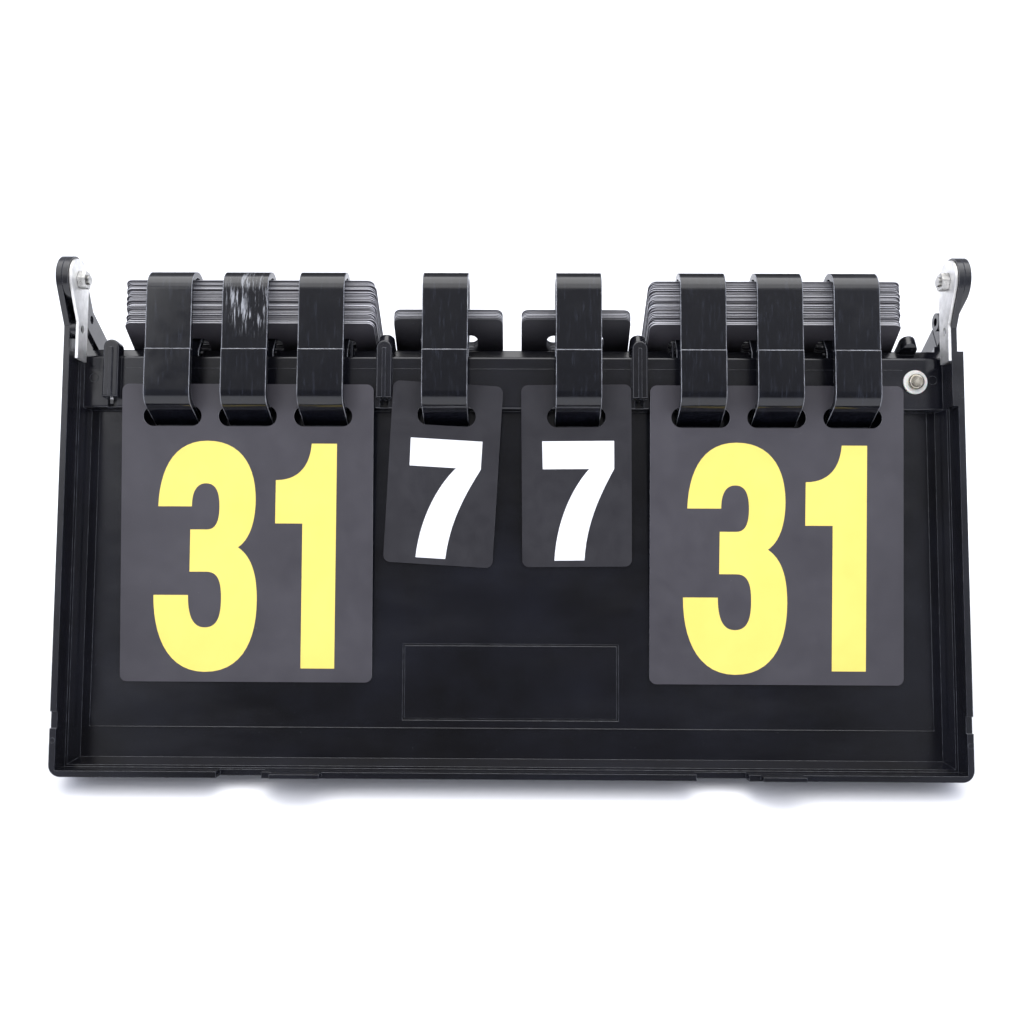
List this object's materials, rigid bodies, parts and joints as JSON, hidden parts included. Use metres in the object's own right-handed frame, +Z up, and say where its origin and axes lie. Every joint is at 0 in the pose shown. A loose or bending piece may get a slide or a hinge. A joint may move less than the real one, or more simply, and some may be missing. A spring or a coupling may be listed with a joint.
{
  "type": "tabletop flip scoreboard",
  "caption": "Folding black plastic case that stands as an A-frame and carries flip number cards on loop rings for two sides.",
  "frame": {"origin": "on the table under the middle of the hinge axis", "axes": "+X left to right seen from the front, +Y to the back, +Z up; the front half leans away from -Y"},
  "size_m": [0.3904, 0.2268, 0.2006],
  "materials": {
    "tray_black": "moulded, semi-gloss",
    "ring_black": "moulded, satin to gloss, scuffed",
    "card_black": "satin sheet plastic with printed numbers",
    "plate_steel": "zinc plated",
    "bolt_steel": "zinc plated",
    "screw_metal": "plated",
    "washer_white": "plain"
  },
  "bodies": {
    "front_half": {"front_case": "tray_black", "header_screw": "screw_metal", "header_washer": "washer_white", "hinge_plate_left": "plate_steel", "pivot_bolt_left": "bolt_steel", "pivot_nut_left": "bolt_steel", "hinge_plate_right": "plate_steel", "pivot_bolt_right": "bolt_steel", "pivot_nut_right": "bolt_steel", "ring_hook_1": "ring_black", "ring_arch_1": "ring_black", "ring_hook_2": "ring_black", "ring_arch_2": "ring_black", "ring_hook_3": "ring_black", "ring_arch_3": "ring_black", "ring_hook_4": "ring_black", "ring_arch_4": "ring_black", "ring_hook_5": "ring_black", "ring_arch_5": "ring_black", "ring_hook_6": "ring_black", "ring_arch_6": "ring_black", "ring_hook_7": "ring_black", "ring_arch_7": "ring_black", "ring_hook_8": "ring_black", "ring_arch_8": "ring_black"},
    "rear_half": {"rear_case": "tray_black"},
    "score_card_left": {"score_card_left": "card_black"},
    "set_card_left": {"set_card_left": "card_black"},
    "score_card_right": {"score_card_right": "card_black"},
    "set_card_right": {"set_card_right": "card_black"},
    "score_stack_left_1": {"score_stack_left_1": "card_black"},
    "score_stack_left_2": {"score_stack_left_2": "card_black"},
    "score_stack_left_3": {"score_stack_left_3": "card_black"},
    "score_stack_left_4": {"score_stack_left_4": "card_black"},
    "set_stack_left": {"set_stack_left": "card_black"},
    "score_stack_right_1": {"score_stack_right_1": "card_black"},
    "score_stack_right_2": {"score_stack_right_2": "card_black"},
    "score_stack_right_3": {"score_stack_right_3": "card_black"},
    "score_stack_right_4": {"score_stack_right_4": "card_black"},
    "set_stack_right": {"set_stack_right": "card_black"}
  },
  "joints": [
    {"name": "case_fold", "type": "hinge", "parent": "front_half", "child": "rear_half", "pos_m": [0, 0, 0.19058], "axis": [1, 0, 0], "range_deg": [0, 20]},
    {"name": "score_card_left_lift", "type": "hinge", "parent": "front_half", "child": "score_card_left", "pos_m": [0, -0.00913, 0.14581], "axis": [-1, 0, 0], "range_deg": [0, 40]},
    {"name": "set_card_left_lift", "type": "hinge", "parent": "front_half", "child": "set_card_left", "pos_m": [0, -0.00913, 0.14581], "axis": [-1, 0, 0], "range_deg": [0, 40]},
    {"name": "score_card_right_lift", "type": "hinge", "parent": "front_half", "child": "score_card_right", "pos_m": [0, -0.00913, 0.14581], "axis": [-1, 0, 0], "range_deg": [0, 40]},
    {"name": "set_card_right_lift", "type": "hinge", "parent": "front_half", "child": "set_card_right", "pos_m": [0, -0.00913, 0.14581], "axis": [-1, 0, 0], "range_deg": [0, 40]},
    {"name": "score_stack_left_1_follow", "type": "hinge", "parent": "front_half", "child": "score_stack_left_1", "pos_m": [0, -0.004, 0.17058], "axis": [1, 0, 0], "range_deg": [0, 28]},
    {"name": "score_stack_left_2_follow", "type": "hinge", "parent": "front_half", "child": "score_stack_left_2", "pos_m": [0, -0.002, 0.17258], "axis": [1, 0, 0], "range_deg": [0, 28]},
    {"name": "score_stack_left_3_follow", "type": "hinge", "parent": "front_half", "child": "score_stack_left_3", "pos_m": [0, 0.002, 0.17658], "axis": [1, 0, 0], "range_deg": [0, 28]},
    {"name": "score_stack_left_4_follow", "type": "hinge", "parent": "front_half", "child": "score_stack_left_4", "pos_m": [0, 0.0075, 0.18108], "axis": [1, 0, 0], "range_deg": [0, 29]},
    {"name": "set_stack_left_follow", "type": "hinge", "parent": "front_half", "child": "set_stack_left", "pos_m": [0, -0.001, 0.17158], "axis": [1, 0, 0], "range_deg": [0, 28]},
    {"name": "score_stack_right_1_follow", "type": "hinge", "parent": "front_half", "child": "score_stack_right_1", "pos_m": [0, -0.004, 0.17058], "axis": [1, 0, 0], "range_deg": [0, 28]},
    {"name": "score_stack_right_2_follow", "type": "hinge", "parent": "front_half", "child": "score_stack_right_2", "pos_m": [0, -0.002, 0.17258], "axis": [1, 0, 0], "range_deg": [0, 28]},
    {"name": "score_stack_right_3_follow", "type": "hinge", "parent": "front_half", "child": "score_stack_right_3", "pos_m": [0, 0.002, 0.17658], "axis": [1, 0, 0], "range_deg": [0, 28]},
    {"name": "score_stack_right_4_follow", "type": "hinge", "parent": "front_half", "child": "score_stack_right_4", "pos_m": [0, 0.0075, 0.18108], "axis": [1, 0, 0], "range_deg": [0, 29]},
    {"name": "set_stack_right_follow", "type": "hinge", "parent": "front_half", "child": "set_stack_right", "pos_m": [0, -0.001, 0.17158], "axis": [1, 0, 0], "range_deg": [0, 28]}
  ],
  "couplings": [
    {"joint": "score_stack_left_1_follow", "follows": "case_fold", "ratio": 1.4},
    {"joint": "score_stack_left_2_follow", "follows": "case_fold", "ratio": 1.4},
    {"joint": "score_stack_left_3_follow", "follows": "case_fold", "ratio": 1.4},
    {"joint": "score_stack_left_4_follow", "follows": "case_fold", "ratio": 1.45},
    {"joint": "set_stack_left_follow", "follows": "case_fold", "ratio": 1.4},
    {"joint": "score_stack_right_1_follow", "follows": "case_fold", "ratio": 1.4},
    {"joint": "score_stack_right_2_follow", "follows": "case_fold", "ratio": 1.4},
    {"joint": "score_stack_right_3_follow", "follows": "case_fold", "ratio": 1.4},
    {"joint": "score_stack_right_4_follow", "follows": "case_fold", "ratio": 1.45},
    {"joint": "set_stack_right_follow", "follows": "case_fold", "ratio": 1.4}
  ]
}
